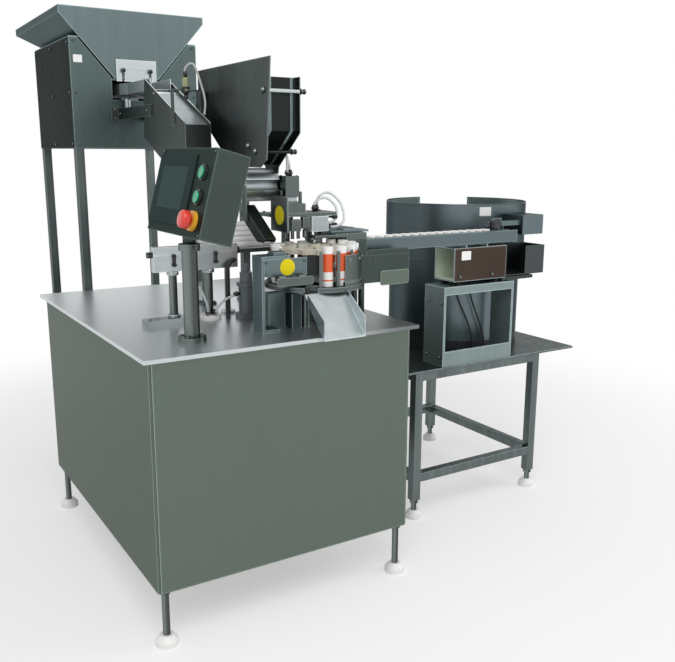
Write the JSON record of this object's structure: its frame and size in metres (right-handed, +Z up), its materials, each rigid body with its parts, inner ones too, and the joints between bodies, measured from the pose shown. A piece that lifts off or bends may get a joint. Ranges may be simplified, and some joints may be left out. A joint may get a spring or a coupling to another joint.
{
  "type": "tube filling machine",
  "caption": "Free-standing tablet tube filling machine: steel cabinet with index dial and control panel, tablet hopper tower, tube bin, cap bowl feeder with track, and discharge chute.",
  "frame": {"origin": "on the floor under the middle of the machine's overall box", "axes": "+Z up, +X to the cap feeder along the cabinet's front, +Y from the cabinet's front to the tower"},
  "size_m": [1.649, 1.681, 1.609],
  "materials": {
    "stainless": "fine brushed stainless steel",
    "table_steel": "bright brushed stainless steel",
    "dark_steel": "dark stainless sheet",
    "bright_steel": "polished round bar",
    "alloy": "milled aluminium",
    "tube_frame": "square tube, ground welds",
    "white_plastic": "white moulded plastic",
    "cream_plastic": "cream machined plastic",
    "drive_paint": "grey-blue drive paint",
    "plate_paint": "light grey mounting plate",
    "black_plastic": "black plastic",
    "panel_plastic": "dark panel frame with a grey-green screen",
    "green_plastic": "green push button",
    "yellow_plastic": "yellow collar",
    "red_plastic": "red mushroom head",
    "sensor_body": "yellow-green sensor body",
    "tube_print": "plain orange and white tube with a white cap",
    "black_paint": "black painted casting",
    "clear_hose": "milky air hose",
    "cable_sheath": "dark cable sheath"
  },
  "bodies": {
    "base": {"base_frame": "tube_frame", "floor_pan": "stainless", "front_panel": "stainless", "left_panel": "stainless", "right_panel": "stainless", "rear_panel": "stainless", "table_plate": "table_steel", "levelling_stems": "bright_steel", "foot_pads": "white_plastic", "index_drive": "drive_paint", "electric_plate": "plate_paint", "control_column": "bright_steel", "tower_frame": "tube_frame", "tower_panels": "stainless", "tower_front": "stainless", "tablet_hopper": "stainless", "feeder_drive": "drive_paint", "tablet_chute": "dark_steel", "level_sensor": "sensor_body", "tube_bin": "dark_steel", "bin_posts": "tube_frame", "tube_chute": "dark_steel", "tablet_rack": "alloy", "infeed_stand": "bright_steel", "infeed_plate": "alloy", "feed_motor": "drive_paint", "hose_stand": "white_plastic", "dial_base": "stainless", "front_bracket": "stainless", "capping_bridge": "dark_steel", "air_cylinders": "alloy", "cap_bracket": "dark_steel", "discharge_chute": "table_steel", "feeder_table": "tube_frame", "bowl_housing": "stainless", "bowl_drive": "black_paint", "track_stand": "stainless", "track_drive": "stainless", "air_hoses": "clear_hose", "cables": "cable_sheath"},
    "control_head": {"control_box": "stainless", "hmi_panel": "panel_plastic", "button_rings": "black_plastic", "estop_collar": "yellow_plastic"},
    "start": {"start_button": "green_plastic"},
    "reset": {"reset_button": "green_plastic"},
    "stop": {"estop_button": "red_plastic"},
    "gate": {"gate_plate": "alloy"},
    "tray": {"feeder_tray": "table_steel"},
    "flap": {"chute_flap": "alloy"},
    "drum": {"sorting_drum": "alloy"},
    "pusher": {"pusher_rod": "bright_steel"},
    "dial": {"index_dial": "cream_plastic", "loaded_tubes": "tube_print"},
    "fill": {"filling_ram": "bright_steel"},
    "press": {"capping_ram": "bright_steel"},
    "bowl": {"cap_bowl": "table_steel"},
    "track": {"cap_track": "table_steel", "track_caps": "white_plastic"},
    "knob": {"star_knob": "black_plastic"}
  },
  "joints": [
    {"name": "control_swivel", "type": "hinge", "parent": "base", "child": "control_head", "pos_m": [-0.6565, -0.6885, 0.955], "axis": [0, 0, 1], "range_deg": [-45, 45]},
    {"name": "start_push", "type": "slide", "parent": "control_head", "child": "start", "axis": [0.9659, 0, -0.2588], "range_m": [0, 0.003], "stiffness_N_per_m": 600},
    {"name": "reset_push", "type": "slide", "parent": "control_head", "child": "reset", "axis": [0.9659, 0, -0.2588], "range_m": [0, 0.003], "stiffness_N_per_m": 600},
    {"name": "stop_push", "type": "slide", "parent": "control_head", "child": "stop", "axis": [0.9659, 0, -0.2588], "range_m": [0, 0.005], "stiffness_N_per_m": 900},
    {"name": "gate_slide", "type": "slide", "parent": "base", "child": "gate", "axis": [0, 0, 1], "range_m": [0, 0.03]},
    {"name": "tray_shake", "type": "slide", "parent": "base", "child": "tray", "axis": [0, 1, 0], "range_m": [-0.0015, 0.0015], "stiffness_N_per_m": 20000},
    {"name": "flap_swing", "type": "hinge", "parent": "base", "child": "flap", "pos_m": [-0.489, -0.1255, 1.33408], "axis": [-1, 0, 0], "range_deg": [0, 50]},
    {"name": "dial_turn", "type": "hinge", "parent": "base", "child": "dial", "pos_m": [-0.2725, -0.6175, 0.83], "axis": [0, 0, 1], "continuous": true},
    {"name": "drum_turn", "type": "hinge", "parent": "base", "child": "drum", "pos_m": [-0.367, -0.4665, 1.08], "axis": [1, 0, 0], "continuous": true},
    {"name": "pusher_slide", "type": "slide", "parent": "base", "child": "pusher", "axis": [1, 0, 0], "range_m": [0, 0.095]},
    {"name": "fill_slide", "type": "slide", "parent": "base", "child": "fill", "axis": [0, 0, -1], "range_m": [0, 0.024]},
    {"name": "press_slide", "type": "slide", "parent": "base", "child": "press", "axis": [0, 0, -1], "range_m": [0, 0.012]},
    {"name": "bowl_shake", "type": "hinge", "parent": "base", "child": "bowl", "pos_m": [0.5665, -0.1975, 0.7], "axis": [0, 0, 1], "range_deg": [-1, 1], "stiffness_Nm_per_rad": 3000},
    {"name": "track_shake", "type": "slide", "parent": "base", "child": "track", "axis": [1, 0, 0], "range_m": [-0.001, 0.001], "stiffness_N_per_m": 30000},
    {"name": "knob_turn", "type": "hinge", "parent": "base", "child": "knob", "pos_m": [0.4435, -0.5325, 0.9443], "axis": [0, -1, 0], "range_deg": [-180, 180]}
  ],
  "couplings": [
    {"joint": "drum_turn", "follows": "dial_turn", "ratio": 2.6667}
  ]
}
